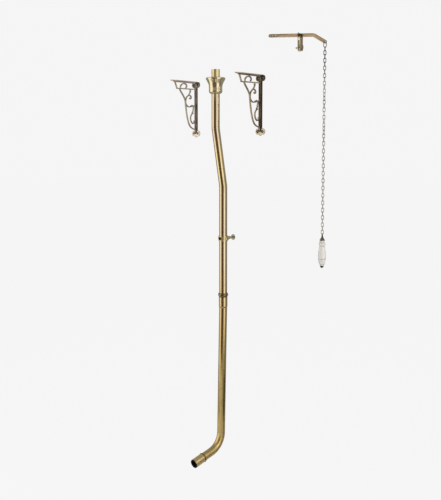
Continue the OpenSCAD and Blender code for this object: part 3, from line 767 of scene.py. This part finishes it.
rubberFinish = {
    "specular": 0.15,
    "black": (0.004, 0.004, 0.004),
    "dusty": (0.014, 0.013, 0.012),
    "dustRise": (0.4, 0.75),
    "dust": {"scale": 90, "detail": 4, "rough": 0.6},
    "grain": {"scale": 700, "detail": 3, "rough": 0.6},
    "grainRise": (0.3, 0.7, 0.62, 0.82),
    "bump": (0.25, 0.0002),
}


def rubber(name, s):
    mat, tree, skin = newMaterial(name)
    skin.inputs["Specular IOR Level"].default_value = s["specular"]
    grain = noise(tree, objectCoords(tree), **s["grain"])
    dust = noise(tree, objectCoords(tree), **s["dust"])
    body = ramp(tree, dust, *s["dustRise"], s["black"], s["dusty"])
    tree.links.new(body, skin.inputs["Base Color"])
    tree.links.new(rise(tree, grain, *s["grainRise"]), skin.inputs["Roughness"])
    bump(tree, skin, grain, *s["bump"])
    return mat


finishes = {
    "upperPipe": pipeBrass("drawnPipeBrass", upperPipeFinish),
    "lowerPipe": pipeBrass("lowerPipeBrass", lowerPipeFinish),
    "ferrule": pipeBrass("ferruleBrass", ferruleFinish),
    "cup": turnedMetal("spunCupBrass", cupFinish),
    "clip": turnedMetal("clipBrass", clipFinish),
    "leftBracket": bracketBrass("castBrassLeft", bracketFinish),
    "rightBracket": bracketBrass("castBrassRight", rightBracketFinish),
    "saddle": castBrass("castSaddleBrass", saddleFinish),
    "rose": castBrass("roseBrass", roseFinish),
    "stud": turnedMetal("studBrass", studFinish),
    "lever": leverBrass("leverBrass", leverFinish),
    "pivot": turnedMetal("darkBrass", pivotFinish),
    "cap": turnedMetal("capBrass", capFinish),
    "nut": turnedMetal("nutBrass", nutFinish),
    "blackened": turnedMetal("blackenedSteel", blackenedFinish),
    "steel": turnedMetal("dullSteel", steelFinish),
    "chain": chainSteel("chainSteel", chainFinish),
    "rubber": rubber("blackRubber", rubberFinish),
    "glaze": glazedWhite("glazedWhite", gripFinish),
}

nodeFinish = {
    "upper_pipe": "upperPipe", "lower_pipe": "lowerPipe", "outlet_ferrule": "ferrule",
    "cover_cup": "cup", "cup_ring": "rubber", "joint_seal": "rubber", "outlet_seal": "rubber",
    "clip_rear_half": "clip", "clip_front_half": "clip", "clip_stud": "stud", "clip_rose": "rose",
    "clip_screws": "clip", "clip_nuts": "clip", "clip_front_screw": "blackened",
    "bracket_left": "leftBracket", "bracket_right": "rightBracket", "lever_saddle": "saddle",
    "lever_arm": "lever", "pivot_pin": "pivot", "pivot_washers": "pivot", "pivot_split_pin": "steel",
    "clamp_screw": "steel", "lever_link": "steel",
    "handle_rod": "blackened", "handle_cap": "cap", "handle_nut": "nut", "handle_grip": "glaze",
}

for name, obj in frame["nodes"].items():
    obj.data.materials.clear()
    obj.data.materials.append(finishes[nodeFinish.get(name, "chain")])
print("materials set")

# the castings and the lever get eased edges: width, the piece's name and its slot
easedEdges = {
    "bracket_left": (0.0009, "castBracketLeft", "cast_brass"),
    "bracket_right": (0.0009, "castBracketRight", "cast_brass"),
    "lever_arm": (0.0012, "leverBar", "lever_brass"),
    "lever_saddle": (0.0005, "saddleStrap", "cast_brass"),
}
easing = {
    "mergeWithin": 0.000002,
    "flatWithin": math.radians(0.6),
    "edgeOver": math.radians(40),
    "segments": 2,
    "smoothUnder": math.radians(35),
}
bodies = frame["record"]["behaviour"]["bodies"]
bodyOf = {node: body for body, names in bodies.items() for node in names}


def easeEdges(nodeName, width, newName, s):
    node = frame["nodes"][nodeName]
    bpy.ops.object.select_all(action="DESELECT")
    node.select_set(True)
    bpy.context.view_layer.objects.active = node
    bpy.ops.object.duplicate()
    piece = bpy.context.object
    piece.name = newName
    bpy.ops.object.mode_set(mode="EDIT")
    bpy.ops.mesh.select_all(action="SELECT")
    bpy.ops.mesh.remove_doubles(threshold=s["mergeWithin"])
    bpy.ops.mesh.dissolve_limited(angle_limit=s["flatWithin"])
    bpy.ops.object.mode_set(mode="OBJECT")
    edge = piece.modifiers.new("eased", "BEVEL")
    edge.width = width
    edge.segments = s["segments"]
    edge.limit_method = "ANGLE"
    edge.angle_limit = s["edgeOver"]
    bpy.ops.object.modifier_apply(modifier="eased")
    bpy.ops.object.shade_smooth_by_angle(angle=s["smoothUnder"])
    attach(piece, bodyOf[nodeName])
    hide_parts(nodeName)


for nodeName, (width, newName, slotName) in easedEdges.items():
    easeEdges(nodeName, width, newName, easing)
print("edges eased")
